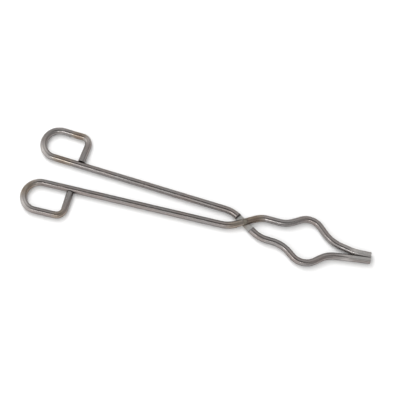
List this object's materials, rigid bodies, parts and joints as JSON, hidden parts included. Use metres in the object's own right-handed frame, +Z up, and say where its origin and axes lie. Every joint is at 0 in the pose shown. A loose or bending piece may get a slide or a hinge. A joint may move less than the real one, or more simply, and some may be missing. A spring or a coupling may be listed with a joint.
{
  "type": "crucible tongs",
  "caption": "Long steel rod tongs with closed finger loops, a riveted half-lap crossing, a bow that straddles a crucible and flat serrated tips.",
  "frame": {"origin": "on the bench, under the middle of the closed tongs' bounding box", "axes": "+X along the tongs towards the tips, +Y across them towards the over arm's jaw, +Z up from the bench they lie on"},
  "size_m": [0.3064, 0.0854, 0.006],
  "materials": {
    "rod_steel": "drawn stainless rod, satin, with faint brown heat tint",
    "rivet_steel": "peened and wiped smooth"
  },
  "bodies": {
    "over_arm": {"over_arm": "rod_steel", "pivot_rivet": "rivet_steel"},
    "under_arm": {"under_arm": "rod_steel"}
  },
  "joints": [
    {"name": "pivot", "type": "hinge", "parent": "over_arm", "child": "under_arm", "pos_m": [0.04181, 0, 0.003], "axis": [0, 0, -1], "range_deg": [0, 70]}
  ]
}
